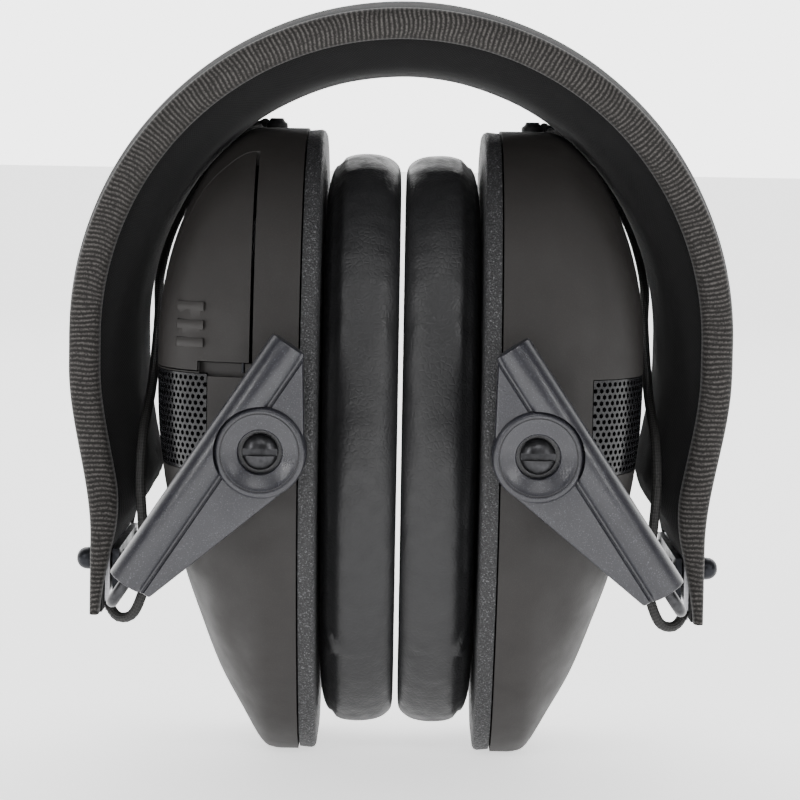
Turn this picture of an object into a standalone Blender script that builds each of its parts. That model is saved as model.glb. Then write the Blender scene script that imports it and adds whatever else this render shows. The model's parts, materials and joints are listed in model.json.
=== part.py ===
"""Over-the-head electronic earmuff, folded: both cups are tucked up inside the headband.

Frame: +Z up, the front is -Y, the left side is -X. The origin is bottom centre, under the cups.
"""

import math

import bmesh
import bpy
from mathutils import Matrix, Vector

MM = 0.001
SIDES = {"left": -1, "right": 1}
ENDS = {"front": -1, "rear": 1}
GAP = 0.3

# Headband, in millimetres. The crown is an arc, and each leg is a strip that leans inwards.
CROWN_Z = 75.0
CROWN_RADIUS = 57.9
CROWN_STEPS = 16
LEG_END_Z = 26.3
LEG_LEAN = 4.0
LEG_LEAN_TOP_Z = 70.0
LEG_LEAN_HEIGHT = 30.0
LEG_STATIONS = (26.3, 30.0, 34.0, 38.0, 42.0, 46.0, 50.0, 55.0, 60.0, 66.0, 75.0)
FABRIC_HALF_WIDTH = 22.0
TAPE_INNER_Y = 22.3
TAPE_OUTER_Y = 25.5
TAPE_THICKNESS = 5.4
TAPE_END_THICKNESS = 1.6
COVER_DEPTH = 2.0
COVER_BULGE = 2.3
SPRING_DEPTHS = (2.3, 3.1)
SPRING_HALF_WIDTH = 20.0
PAD_DEPTH = 3.4
PAD_THICKNESS = 7.8
PAD_END_Z = 38.0

# Folding arm: a wire whose crossbar turns in the clip, and two nylon tubes that slide on its legs.
HINGE_X = 47.9
HINGE_Z = 31.8
WIRE_RADIUS = 1.0
WIRE_BEND = 4.0
WIRE_IN_TUBE = 46.0
ARM_Y = 48.0
TUBE_TILT = math.radians(33.6)
TUBE_START = 4.6
TUBE_LENGTH = 48.5
TUBE_RADIUS = 3.7
TUBE_BORE_RADIUS = 1.3
TUBE_BORE_LENGTH = 47.0
BOSS_ALONG = 30.9
BOSS_OFFSET = 6.15
BOSS_RADIUS = 8.1
BOSS_INNER_Y = 44.3
BOSS_OUTER_Y = 50.3
BOSS_RECESS_RADIUS = 3.7
BOSS_RECESS_Y = 47.5
SCREW_HOLE_RADIUS = 2.15
SCREW_SHANK_RADIUS = 1.85
SCREW_HEAD_RADIUS = 2.8
SCREW_SLOT_WIDTH = 1.3
CLIP_HALF_WIDTH = 18.0
CLIP_TOP_Z = 37.0
CLIP_PLATE = (49.35, 50.5)
KNUCKLE_HALF_WIDTH = 11.0
KNUCKLE_RADIUS = 2.45
KNUCKLE_BORE_RADIUS = 1.3
RIVET_Y = 15.0
RIVET_Z = 34.9
RIVET_SHANK_RADIUS = 0.9

# Cup. Each station is |X|, lowest Z, highest Z and half-depth of the outline there.
CUP_STATIONS = (
    (17.3, -1.2, 112.0, 41.0),
    (21.4, -1.0, 112.0, 41.0),
    (24.0, 0.5, 112.0, 40.8),
    (27.5, 6.5, 111.6, 40.0),
    (31.5, 14.0, 108.7, 38.7),
    (34.9, 23.0, 104.8, 37.0),
    (38.1, 32.5, 98.8, 34.0),
    (40.7, 43.5, 91.9, 29.5),
    (42.3, 53.5, 84.9, 23.0),
    (43.1, 62.0, 78.0, 12.0),
)
CUP_HEIGHT = 112.0
CUP_SEGMENTS = 36
CUP_WALL = 2.2
CUP_SQUARENESS = 2.6
CUP_TAPER = 0.25
PIVOT_STUB_RADIUS = 5.0
TRIM_X = (14.0, 17.0)
TRIM_OPENING = (22.0, 24.0, 88.0)
CUSHION_X = (0.25, 13.7)
CUSHION_OUTLINE = (37.0, 4.0, 107.5)
CUSHION_OPENING = (20.0, 27.0, 85.0)
CUSHION_EDGE = 3.5
FOAM_X = (17.6, 21.0)
SPEAKER_X = (21.3, 29.0)
SPEAKER_Z = 35.0
SPEAKER_RADIUS = 14.0
MIC_WINDOW_X = 32.8
MIC_WINDOW_Z = (53.5, 70.0)
MIC_WINDOW_Y = -22.0
MIC = (36.8, -25.5, 62.0)
MIC_LENGTH = 3.6
MIC_RADIUS = 2.0
GLAND = (23.5, 8.0)
DOOR_X = 25.5
DOOR_Y = -21.5
DOOR_Z = 72.0
DOOR_HINGE = (26.6, -39.1)
DOOR_HINGE_GAP = 0.75
DOOR_PIN_RADIUS = 0.4
DOOR_PIN_Z = (70.3, 76.5)
BATTERY_RADIUS = 5.25
BATTERY_LENGTH = 44.5
BATTERY_X = 28.9
BATTERY_Z = 52.0
BATTERY_Y = (-22.0, -10.5)
KNOB_X = 27.0
KNOB_Y = 27.3
KNOB_Z = 32.0
KNOB_RADIUS = 9.0
KNOB_WIDTH = 3.6
JACK_X = 29.5
JACK_Z = 46.0
JACK_RADIUS = 3.6

# Link cable, left side: from the band's end, round the crossbar, up behind the cup, to the gland.
CABLE_RADIUS = 0.9
CABLE_STEP = 4.5
CABLE_ROUTE = (
    (-51.0, -20.3, 25.7),
    (-50.6, -20.6, 24.3),
    (-48.9, -21.6, 22.9),
    (-46.6, -22.8, 23.6),
    (-45.0, -23.6, 27.0),
    (-44.2, -23.4, 33.0),
    (-44.8, -21.8, 41.0),
    (-45.4, -21.2, 50.0),
    (-45.2, -18.0, 58.0),
    (-44.7, -9.0, 64.5),
    (-44.9, 2.0, 70.5),
    (-45.2, 12.0, 77.0),
    (-45.6, 18.5, 84.0),
    (-43.4, 21.6, 93.0),
    (-38.6, 21.8, 102.0),
    (-32.6, 19.6, 108.6),
    (-28.4, 16.2, 111.6),
    (-25.7, 11.3, 112.9),
)

COLORS = {
    "shell": (0.040, 0.038, 0.037, 0.62, 0.0),
    "trim": (0.050, 0.050, 0.052, 0.70, 0.0),
    "leatherette": (0.028, 0.028, 0.030, 0.45, 0.0),
    "nylon": (0.060, 0.064, 0.075, 0.45, 0.0),
    "fabric": (0.020, 0.020, 0.022, 0.90, 0.0),
    "tape": (0.060, 0.055, 0.052, 0.85, 0.0),
    "wire": (0.060, 0.060, 0.065, 0.35, 0.8),
    "steel": (0.400, 0.400, 0.420, 0.35, 1.0),
    "clip": (0.030, 0.032, 0.040, 0.40, 0.7),
    "cable": (0.012, 0.012, 0.012, 0.60, 0.0),
    "mesh": (0.030, 0.030, 0.032, 0.50, 0.5),
    "foam": (0.035, 0.035, 0.038, 1.00, 0.0),
    "battery": (0.250, 0.250, 0.260, 0.30, 0.6),
    "board": (0.020, 0.110, 0.045, 0.50, 0.0),
    "knob": (0.018, 0.018, 0.019, 0.60, 0.0),
}

PARTS = None
CUTTERS = None


def clear_scene():
    for obj in list(bpy.data.objects):
        bpy.data.objects.remove(obj, do_unlink=True)


def new_collection(name):
    made = bpy.data.collections.new(name)
    bpy.context.scene.collection.children.link(made)
    return made


def make_materials():
    for name, (red, green, blue, roughness, metallic) in COLORS.items():
        material = bpy.data.materials.new(name)
        material.use_nodes = True
        material.diffuse_color = (red, green, blue, 1.0)
        shader = material.node_tree.nodes["Principled BSDF"]
        shader.inputs["Base Color"].default_value = (red, green, blue, 1.0)
        shader.inputs["Roughness"].default_value = roughness
        shader.inputs["Metallic"].default_value = metallic


def smoothstep(t):
    t = min(max(t, 0.0), 1.0)
    return t * t * (3.0 - 2.0 * t)


def mix(a, b, t):
    return a + (b - a) * t


# ---------------------------------------------------------------- making objects


def add_object(name, data, material, cutter=False):
    obj = bpy.data.objects.new(name, data)
    if cutter:
        CUTTERS.objects.link(obj)
        obj.hide_render = True
        obj.display_type = "WIRE"
    else:
        PARTS.objects.link(obj)
        own = bpy.data.materials[material].copy()
        own.name = name
        data.materials.append(own)
    return obj


def from_bmesh(name, shape, material, cutter=False):
    mesh = bpy.data.meshes.new(name)
    bmesh.ops.recalc_face_normals(shape, faces=shape.faces[:])
    if shape.calc_volume(signed=True) < 0:
        bmesh.ops.reverse_faces(shape, faces=shape.faces[:])
    shape.to_mesh(mesh)
    shape.free()
    mesh.shade_smooth()
    mesh.set_sharp_from_angle(angle=math.radians(35))
    return add_object(name, mesh, material, cutter)


def scaled(point):
    return Vector(point) * MM


def loft(name, rings, material, ends=(True, True), looped=False, cutter=False):
    """One skin over closed rings of equal length. It is capped at each end, or looped to the first."""
    shape = bmesh.new()
    rows = [[shape.verts.new(scaled(point)) for point in ring] for ring in rings]
    pairs = list(zip(rows, rows[1:]))
    if looped:
        pairs.append((rows[-1], rows[0]))
    for low, high in pairs:
        for i in range(len(low)):
            j = (i + 1) % len(low)
            shape.faces.new((low[i], low[j], high[j], high[i]))
    if not looped and ends[0]:
        shape.faces.new(rows[0])
    if not looped and ends[1]:
        shape.faces.new(rows[-1])
    return from_bmesh(name, shape, material, cutter)


def box(name, low, high, material=None, cutter=False):
    shape = bmesh.new()
    bmesh.ops.create_cube(shape, size=1.0)
    size = [abs(b - a) * MM for a, b in zip(low, high)]
    middle = [(a + b) / 2 * MM for a, b in zip(low, high)]
    bmesh.ops.transform(shape, matrix=Matrix.LocRotScale(Vector(middle), None, Vector(size)), verts=shape.verts)
    return from_bmesh(name, shape, material, cutter)


def turn_to(axis):
    return Vector((0, 0, 1)).rotation_difference(Vector(axis)).to_matrix().to_4x4()


def rod(name, start, end, radius, material=None, steps=20, cutter=False):
    shape = bmesh.new()
    run = Vector(end) - Vector(start)
    place = Matrix.Translation(scaled((Vector(start) + Vector(end)) / 2)) @ turn_to(run.normalized())
    bmesh.ops.create_cone(
        shape, cap_ends=True, segments=steps, radius1=radius * MM, radius2=radius * MM,
        depth=run.length * MM, matrix=place,
    )
    return from_bmesh(name, shape, material, cutter)


def turned(name, profile, place, axis, material, steps=20):
    """A turned piece: profile is (radius, height) from the lower axis point to the upper one."""
    mesh = bpy.data.meshes.new(name)
    points = [(radius * MM, 0.0, height * MM) for radius, height in reversed(profile)]
    mesh.from_pydata(points, [(i, i + 1) for i in range(len(points) - 1)], [])
    obj = add_object(name, mesh, material)
    obj.matrix_world = Matrix.Translation(scaled(place)) @ turn_to(axis)
    screw = obj.modifiers.new("turn", "SCREW")
    screw.steps = steps
    screw.render_steps = steps
    screw.use_merge_vertices = True
    screw.merge_threshold = 0.00001
    screw.use_smooth_shade = True
    return obj


def wire(name, points, radius, material, rings=2):
    """A round wire along a chain of points, with closed ends."""
    curve = bpy.data.curves.new(name, "CURVE")
    curve.dimensions = "3D"
    curve.bevel_depth = radius * MM
    curve.bevel_resolution = rings
    curve.use_fill_caps = True
    line = curve.splines.new("POLY")
    line.points.add(len(points) - 1)
    for target, point in zip(line.points, points):
        target.co = (*scaled(point), 1.0)
    return add_object(name, curve, material)


def prism(name, outline, low_y, high_y, material=None, cutter=False):
    """A flat outline of (X, Z) points, thickened along Y."""
    rings = [[(x, y, z) for x, z in outline] for y in (low_y, high_y)]
    return loft(name, rings, material, cutter=cutter)


def combine(obj, other, operation):
    step = obj.modifiers.new(operation.lower(), "BOOLEAN")
    step.operation = operation
    step.solver = "EXACT"
    step.object = other


# ---------------------------------------------------------------- headband


def leg_outer_x(z):
    return CROWN_RADIUS - LEG_LEAN * smoothstep((LEG_LEAN_TOP_Z - z) / LEG_LEAN_HEIGHT)


def tape_thickness(z):
    return mix(TAPE_END_THICKNESS, TAPE_THICKNESS, smoothstep((z - 24.0) / 26.0))


def cover_bulge(z):
    return COVER_BULGE * mix(0.12, 1.0, smoothstep((z - 42.0) / 20.0))


def pad_thickness(z):
    return mix(PAD_THICKNESS, 0.6, smoothstep((51.0 - z) / 14.0))


def band_stations(lowest):
    """(angle round the crown or None, Z, side) from the left leg's end to the right leg's end."""
    heights = [z for z in LEG_STATIONS if z >= lowest]
    left = [(None, z, -1) for z in heights]
    crown = [(math.pi * (1 - i / CROWN_STEPS), CROWN_Z, 0) for i in range(1, CROWN_STEPS)]
    right = [(None, z, 1) for z in reversed(heights)]
    return left + crown + right


def band_ring(station, section):
    """section is a list of (Y, depth below the band's outer face)."""
    angle, z, side = station
    ring = []
    for y, depth in section:
        if angle is None:
            ring.append((side * (leg_outer_x(z) - depth), y, z))
        else:
            reach = CROWN_RADIUS - depth
            ring.append((reach * math.cos(angle), y, CROWN_Z + reach * math.sin(angle)))
    return ring


def cover_section(z):
    edge = FABRIC_HALF_WIDTH
    bulge = cover_bulge(z)
    top = [(y, 0.3 - bulge * (1 - (y / edge) ** 2)) for y in (edge, 15.0, 7.0, -7.0, -15.0, -edge)]
    return [(-edge, COVER_DEPTH), (edge, COVER_DEPTH)] + top


def pad_section(z):
    edge = FABRIC_HALF_WIDTH
    thick = pad_thickness(z)
    lower = [(edge, 0.22), (edge - 2.5, 0.62), (15.0, 0.93), (6.0, 1.0)]
    below = [(y, PAD_DEPTH + thick * part) for y, part in lower]
    mirrored = [(-y, depth) for y, depth in reversed(below)]
    return [(-edge, PAD_DEPTH), (edge, PAD_DEPTH)] + below + mirrored


def tape_section(z, end):
    thick = tape_thickness(z)
    middle = mix(TAPE_INNER_Y, TAPE_OUTER_Y, 0.45)
    corner = TAPE_OUTER_Y - 0.35
    outline = [
        (TAPE_INNER_Y, 0.06), (middle, 0.0), (corner, 0.14), (TAPE_OUTER_Y, 0.5),
        (corner, 0.86), (middle, 1.0), (TAPE_INNER_Y, 0.94),
    ]
    return [(end * y, thick * part) for y, part in outline]


def make_headband():
    stations = band_stations(LEG_END_Z)
    cover = loft("headband_cover", [band_ring(s, cover_section(s[1])) for s in stations], "fabric")
    low, high = SPRING_DEPTHS
    half = SPRING_HALF_WIDTH
    strip = [(-half, low), (half, low), (half, high), (-half, high)]
    spring = loft("spring_band", [band_ring(s, strip) for s in stations], "steel")
    padded = band_stations(PAD_END_Z)
    loft("headband_pad", [band_ring(s, pad_section(s[1])) for s in padded], "fabric")
    for end_name, end in ENDS.items():
        name = f"headband_binding_{end_name}"
        loft(name, [band_ring(s, tape_section(s[1], end)) for s in stations], "tape")
    for side_name, side in SIDES.items():
        clip = make_hinge_clip(side_name, side)
        for end_name, end in ENDS.items():
            name = f"{side_name}_{end_name}"
            make_rivet(f"hinge_rivet_{name}", side, end)
            hole = rod(
                f"rivet_hole_{name}", (side * 46.0, end * RIVET_Y, RIVET_Z),
                (side * 58.0, end * RIVET_Y, RIVET_Z), RIVET_SHANK_RADIUS + GAP, steps=12, cutter=True,
            )
            for pierced in (cover, spring, clip):
                combine(pierced, hole, "DIFFERENCE")


def make_hinge_clip(side_name, side):
    """A plate on the band's inner face, with a rolled knuckle round the wire's crossbar."""
    inner, outer = CLIP_PLATE
    half = CLIP_HALF_WIDTH
    low = (side * inner, -half, HINGE_Z - KNUCKLE_RADIUS + 0.2)
    clip = box(f"hinge_clip_{side_name}", low, (side * outer, half, CLIP_TOP_Z), "clip")
    for part, radius, reach, operation in (
        ("knuckle", KNUCKLE_RADIUS, KNUCKLE_HALF_WIDTH, "UNION"),
        ("bore", KNUCKLE_BORE_RADIUS, half + 2.0, "DIFFERENCE"),
    ):
        ends = [(side * HINGE_X, y, HINGE_Z) for y in (-reach, reach)]
        combine(clip, rod(f"clip_{part}_{side_name}", *ends, radius, steps=20, cutter=True), operation)
    return clip


def make_rivet(name, side, end):
    """A shank through the band's end, a flat head inside and a domed head outside."""
    shank = RIVET_SHANK_RADIUS
    profile = [
        (0.0, 48.2), (1.7, 48.2), (1.7, 48.9), (shank, 48.9), (shank, 54.3),
        (2.6, 54.3), (2.6, 55.0), (2.2, 56.2), (1.2, 56.9), (0.0, 57.1),
    ]
    turned(name, profile, (0.0, end * RIVET_Y, RIVET_Z), (side, 0, 0), "clip", steps=14)


# ---------------------------------------------------------------- arms and sliders


def arm_point(side, along, offset=0.0):
    """(X, Z) on the arm: along the tube from the hinge axis, and offset to its lower, inner side."""
    run_x, run_z = -math.sin(TUBE_TILT), math.cos(TUBE_TILT)
    x = HINGE_X + run_x * along - run_z * offset
    z = HINGE_Z + run_z * along + run_x * offset
    return side * x, z


def boss_centre(side):
    return arm_point(side, TUBE_START + BOSS_ALONG, BOSS_OFFSET)


def make_wire_yoke(side_name, side):
    """A U of wire: the crossbar lies on the hinge axis, and a leg goes up inside each tube."""
    reach = TUBE_START + WIRE_IN_TUBE
    half = [(reach, ARM_Y)]
    for i in range(1, 6):
        half.append((mix(reach, WIRE_BEND, i / 5), ARM_Y))
    for i in range(1, 6):
        turn = math.pi / 2 * i / 5
        half.append((WIRE_BEND * (1 - math.sin(turn)), ARM_Y - WIRE_BEND * (1 - math.cos(turn))))
    half += [(0.0, ARM_Y * part) for part in (0.6, 0.3)]
    whole = [(along, -y) for along, y in half] + [(along, y) for along, y in reversed(half)]
    points = []
    for along, y in whole:
        x, z = arm_point(side, along)
        points.append((x, y, z))
    wire(f"wire_yoke_{side_name}", points, WIRE_RADIUS, "wire", rings=2)


def make_slider_block(side_name, side, end_name, end):
    """A tube that slides on the wire, and a flat boss that the cup turns on, joined by webs."""
    name = f"{side_name}_{end_name}"
    top = TUBE_START + TUBE_LENGTH
    low_x, low_z = arm_point(side, TUBE_START)
    high_x, high_z = arm_point(side, top)
    y = end * ARM_Y
    block = rod(f"slider_block_{name}", (low_x, y, low_z), (high_x, y, high_z), TUBE_RADIUS, "nylon", steps=16)
    boss_x, boss_z = boss_centre(side)
    inner, outer = end * BOSS_INNER_Y, end * BOSS_OUTER_Y
    boss = rod(f"boss_{name}", (boss_x, inner, boss_z), (boss_x, outer, boss_z), BOSS_RADIUS, steps=24, cutter=True)
    middle = TUBE_START + BOSS_ALONG
    web = [
        arm_point(side, TUBE_START + 0.6, 1.0), arm_point(side, TUBE_START + 0.6, TUBE_RADIUS - 0.4),
        arm_point(side, middle - 5.6, BOSS_OFFSET + 5.6), arm_point(side, middle, BOSS_OFFSET + 2.0),
        arm_point(side, middle + 6.6, BOSS_OFFSET + 3.6), arm_point(side, top - 1.0, TUBE_RADIUS - 0.6),
        arm_point(side, top - 1.0, 1.0),
    ]
    webs = prism(f"web_{name}", web, end * (BOSS_INNER_Y + 0.6), end * (BOSS_OUTER_Y - 1.2), cutter=True)
    recess_ends = [(boss_x, end * reach, boss_z) for reach in (BOSS_RECESS_Y, BOSS_OUTER_Y + 2)]
    recess = rod(f"recess_{name}", *recess_ends, BOSS_RECESS_RADIUS, steps=16, cutter=True)
    hole_ends = [(boss_x, end * reach, boss_z) for reach in (BOSS_INNER_Y - 2, BOSS_OUTER_Y + 2)]
    hole = rod(f"screw_hole_{name}", *hole_ends, SCREW_HOLE_RADIUS, steps=12, cutter=True)
    bore_ends = []
    for along in (TUBE_START - 2.0, TUBE_START + TUBE_BORE_LENGTH):
        x, z = arm_point(side, along)
        bore_ends.append((x, y, z))
    bore = rod(f"wire_bore_{name}", *bore_ends, TUBE_BORE_RADIUS, steps=10, cutter=True)
    combine(block, webs, "UNION")
    combine(block, boss, "UNION")
    for cutter in (recess, hole, bore):
        combine(block, cutter, "DIFFERENCE")


def make_pivot_screw(side_name, side, end_name, end):
    name = f"{side_name}_{end_name}"
    shank = SCREW_SHANK_RADIUS
    head = SCREW_HEAD_RADIUS
    profile = [
        (0.0, 41.4), (shank, 41.4), (shank, BOSS_RECESS_Y + GAP), (head, BOSS_RECESS_Y + GAP),
        (head, 49.0), (head - 0.6, 49.7), (0.0, 50.0),
    ]
    boss_x, boss_z = boss_centre(side)
    screw = turned(f"pivot_screw_{name}", profile, (boss_x, 0.0, boss_z), (0, end, 0), "wire", steps=18)
    half = SCREW_SLOT_WIDTH / 2
    slot = box(
        f"screw_slot_{name}", (boss_x - 5, end * 48.9, boss_z - half),
        (boss_x + 5, end * 52.0, boss_z + half), cutter=True,
    )
    combine(screw, slot, "DIFFERENCE")


# ---------------------------------------------------------------- cups


def cup_ring(x, low, high, half, inset=0.0):
    """An upright rounded outline in Y and Z, narrower towards its foot, with a flat foot at Z 0."""
    ring = []
    middle, tall = (low + high) / 2, (high - low) / 2 - inset
    for i in range(CUP_SEGMENTS):
        turn = 2 * math.pi * i / CUP_SEGMENTS
        across, up = math.cos(turn), math.sin(turn)
        power = 2 / CUP_SQUARENESS
        z = middle + tall * math.copysign(abs(up) ** power, up)
        narrow = 1 - CUP_TAPER * smoothstep((CUP_HEIGHT / 2 - z) / 60.0)
        y = (half - inset) * math.copysign(abs(across) ** power, across) * narrow
        ring.append((x, y, max(z, inset)))
    return ring


def plain_ring(x, half, low, high, inset=0.0):
    """As cup_ring, for a piece whose foot isn't flat."""
    return [(x, y, z + 0.001) for x, y, z in cup_ring(x, low, high, half, inset)]


def make_cup_shell(side_name, side):
    rings = [cup_ring(side * x, low, high, half) for x, low, high, half in CUP_STATIONS]
    shell = loft(f"cup_shell_{side_name}", rings, "shell", ends=(False, True))
    if shell.data.polygons[0].normal.dot(Vector(shell.data.polygons[0].center) - scaled((0, 0, 56))) < 0:
        shell.data.flip_normals()
    solid = shell.modifiers.new("wall", "SOLIDIFY")
    solid.thickness = CUP_WALL * MM
    solid.offset = -1.0
    solid.use_even_offset = True
    boss_x, boss_z = boss_centre(side)
    for end_name, end in ENDS.items():
        name = f"{side_name}_{end_name}"
        stub_ends = [(boss_x, end * reach, boss_z) for reach in (39.6, BOSS_INNER_Y - GAP)]
        combine(shell, rod(f"stub_{name}", *stub_ends, PIVOT_STUB_RADIUS, steps=16, cutter=True), "UNION")
        tap_ends = [(boss_x, end * reach, boss_z) for reach in (41.1, BOSS_INNER_Y + 2)]
        combine(shell, rod(f"tap_{name}", *tap_ends, SCREW_HOLE_RADIUS, steps=12, cutter=True), "DIFFERENCE")
    return shell


def split_off(shell, name, low, high, material, inner_gap=GAP / 2):
    """Cuts a window through the shell's wall, and fills it with a panel of the same wall."""
    panel = shell.copy()
    panel.data = shell.data.copy()
    panel.name = name
    panel.data.name = name
    panel.data.materials.clear()
    own = bpy.data.materials[material].copy()
    own.name = name
    panel.data.materials.append(own)
    PARTS.objects.link(panel)
    for step in list(panel.modifiers):
        if step.type == "BOOLEAN":
            panel.modifiers.remove(step)
    gap = GAP / 2
    bounds = [sorted(pair) for pair in zip(low, high)]
    window_low = [a - gap for a, b in bounds]
    window_high = [b + gap for a, b in bounds]
    if window_high[0] < 0:
        window_high[0] += inner_gap - gap
    window = box(f"{name}_window", window_low, window_high, cutter=True)
    fill = box(f"{name}_fill", [a + gap for a, b in bounds], [b - gap for a, b in bounds], cutter=True)
    combine(panel, fill, "INTERSECT")
    combine(shell, window, "DIFFERENCE")
    return panel


def make_trim_ring(side_name, side):
    half, low, high = TRIM_OPENING
    inner = [plain_ring(side * x, half, low, high) for x in TRIM_X]
    outer = [cup_ring(side * x, -1.2, 112.0, 41.0, 0.4) for x in TRIM_X]
    loft(f"trim_ring_{side_name}", [inner[0], outer[0], outer[1], inner[1]], "trim", looped=True)


def make_cushion(side_name, side):
    """A ring of foam in leatherette, with rounded edges all round."""
    half, low, high = CUSHION_OUTLINE
    inner_half, inner_low, inner_high = CUSHION_OPENING
    near, far = CUSHION_X
    edge = CUSHION_EDGE
    steps = ((0.0, edge), (0.3 * edge, 0.3 * edge), (edge, 0.0))
    outline = []
    for back, inset in steps:
        outline.append((near + back, inset, False))
    for back, inset in reversed(steps):
        outline.append((far - back, inset, False))
    for back, inset in steps:
        outline.append((far - back, inset, True))
    for back, inset in reversed(steps):
        outline.append((near + back, inset, True))
    rings = []
    for x, inset, inside in outline:
        if inside:
            rings.append(plain_ring(side * x, inner_half, inner_low, inner_high, -inset))
        else:
            rings.append(plain_ring(side * x, half, low, high, inset))
    loft(f"cushion_{side_name}", rings, "leatherette", looped=True)


def make_cup(side_name, side):
    shell = make_cup_shell(side_name, side)
    make_trim_ring(side_name, side)
    make_cushion(side_name, side)
    foam = [plain_ring(side * x, 41.0, 0.0, 112.0, 4.0) for x in FOAM_X]
    loft(f"acoustic_foam_{side_name}", foam, "foam")
    near, far = SPEAKER_X
    speaker = [
        (0.0, near + 2.4), (4.0, near + 2.4), (SPEAKER_RADIUS - 1.5, near), (SPEAKER_RADIUS, near),
        (SPEAKER_RADIUS, near + 1.6), (9.0, near + 4.4), (7.0, near + 4.6), (7.0, far), (0.0, far),
    ]
    turned(f"speaker_{side_name}", speaker, (0.0, 0.0, SPEAKER_Z), (side, 0, 0), "mesh", steps=24)
    low_z, high_z = MIC_WINDOW_Z
    split_off(
        shell, f"mic_grille_{side_name}", (side * MIC_WINDOW_X, -50.0, low_z),
        (side * 46.0, MIC_WINDOW_Y, high_z), "mesh",
    )
    capsule = [(side * MIC[0], MIC[1] + y, MIC[2]) for y in (0.0, MIC_LENGTH)]
    rod(f"microphone_{side_name}", *capsule, MIC_RADIUS, "mesh", steps=16)
    gland = [(0.0, 112.3), (3.0, 112.3), (3.0, 112.7), (2.4, 113.3), (1.3, 113.7), (0.0, 113.8)]
    turned(f"cable_gland_{side_name}", gland, (side * GLAND[0], GLAND[1], 0.0), (0, 0, 1), "knob", steps=16)
    return shell


def make_battery_bay(shell):
    low, high = (-DOOR_X, -50.0, DOOR_Z), (-50.0, DOOR_Y, 120.0)
    door = split_off(shell, "battery_door", low, high, "shell", DOOR_HINGE_GAP)
    hinge_x, hinge_y = -DOOR_HINGE[0], DOOR_HINGE[1]
    hole_ends = [(hinge_x, hinge_y, z) for z in (DOOR_PIN_Z[0] - GAP, DOOR_PIN_Z[1] + GAP)]
    hole = rod("door_pin_hole", *hole_ends, DOOR_PIN_RADIUS + 0.25, steps=10, cutter=True)
    combine(door, hole, "DIFFERENCE")
    combine(shell, hole, "DIFFERENCE")
    place_origin(door, (hinge_x, hinge_y, DOOR_Z))
    pin_ends = [(hinge_x, hinge_y, z) for z in DOOR_PIN_Z]
    rod("door_hinge_pin", *pin_ends, DOOR_PIN_RADIUS, "steel", steps=10)
    for number, y in enumerate(BATTERY_Y, 1):
        cell = [
            (0.0, 0.0), (3.6, 0.0), (BATTERY_RADIUS, 0.6), (BATTERY_RADIUS, BATTERY_LENGTH - 1.4),
            (4.4, BATTERY_LENGTH - 0.8), (1.9, BATTERY_LENGTH - 0.8), (1.9, BATTERY_LENGTH), (0.0, BATTERY_LENGTH),
        ]
        turned(f"battery_{number}", cell, (-BATTERY_X, y, BATTERY_Z), (0, 0, 1), "battery", steps=20)
    low = (-BATTERY_X - 4.5, BATTERY_Y[0] - 4.5, BATTERY_Z - GAP - 0.8)
    box("battery_contacts", low, (-BATTERY_X + 4.5, BATTERY_Y[1] + 4.5, BATTERY_Z - GAP), "steel")


def place_origin(obj, point):
    """Moves the object's origin to a point on its joint's axis, and leaves its shape where it is."""
    target = Matrix.Translation(scaled(point))
    obj.data.transform(target.inverted() @ obj.matrix_world)
    obj.matrix_world = target


def make_controls(shell):
    """The volume thumbwheel in a slot of the rear wall, with its potentiometer, board and jack."""
    half = KNOB_WIDTH / 2
    slot_half = half + 0.4
    slot_low = (KNOB_X - slot_half, KNOB_Y - KNOB_RADIUS - 0.6, KNOB_Z - KNOB_RADIUS - 0.6)
    slot_high = (KNOB_X + slot_half, 45.0, KNOB_Z + KNOB_RADIUS + 0.6)
    combine(shell, box("knob_slot", slot_low, slot_high, cutter=True), "DIFFERENCE")
    wheel = [
        (0.0, -half), (KNOB_RADIUS - 0.5, -half), (KNOB_RADIUS, -half + 0.5),
        (KNOB_RADIUS, half - 0.5), (KNOB_RADIUS - 0.5, half), (0.0, half),
    ]
    turned("volume_knob", wheel, (KNOB_X, KNOB_Y, KNOB_Z), (1, 0, 0), "knob", steps=28)
    pot_end = KNOB_X - half - GAP
    box("potentiometer", (21.4, KNOB_Y - 6.0, KNOB_Z - 3.0), (pot_end, KNOB_Y + 1.0, KNOB_Z + 3.0), "steel")
    box("circuit_board", (30.6, -20.0, 52.0), (31.8, 22.0, 86.0), "board")
    jack_axis = [(JACK_X, y, JACK_Z) for y in (26.0, 37.2)]
    jack = rod("audio_jack", *jack_axis, JACK_RADIUS, "knob", steps=20)
    bore = rod("jack_bore", (JACK_X, 28.0, JACK_Z), (JACK_X, 42.0, JACK_Z), 1.75, steps=14, cutter=True)
    combine(jack, bore, "DIFFERENCE")
    mouth = rod("jack_hole", (JACK_X, 30.0, JACK_Z), (JACK_X, 45.0, JACK_Z), JACK_RADIUS + GAP, steps=20, cutter=True)
    combine(shell, mouth, "DIFFERENCE")


# ---------------------------------------------------------------- link cables


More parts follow.
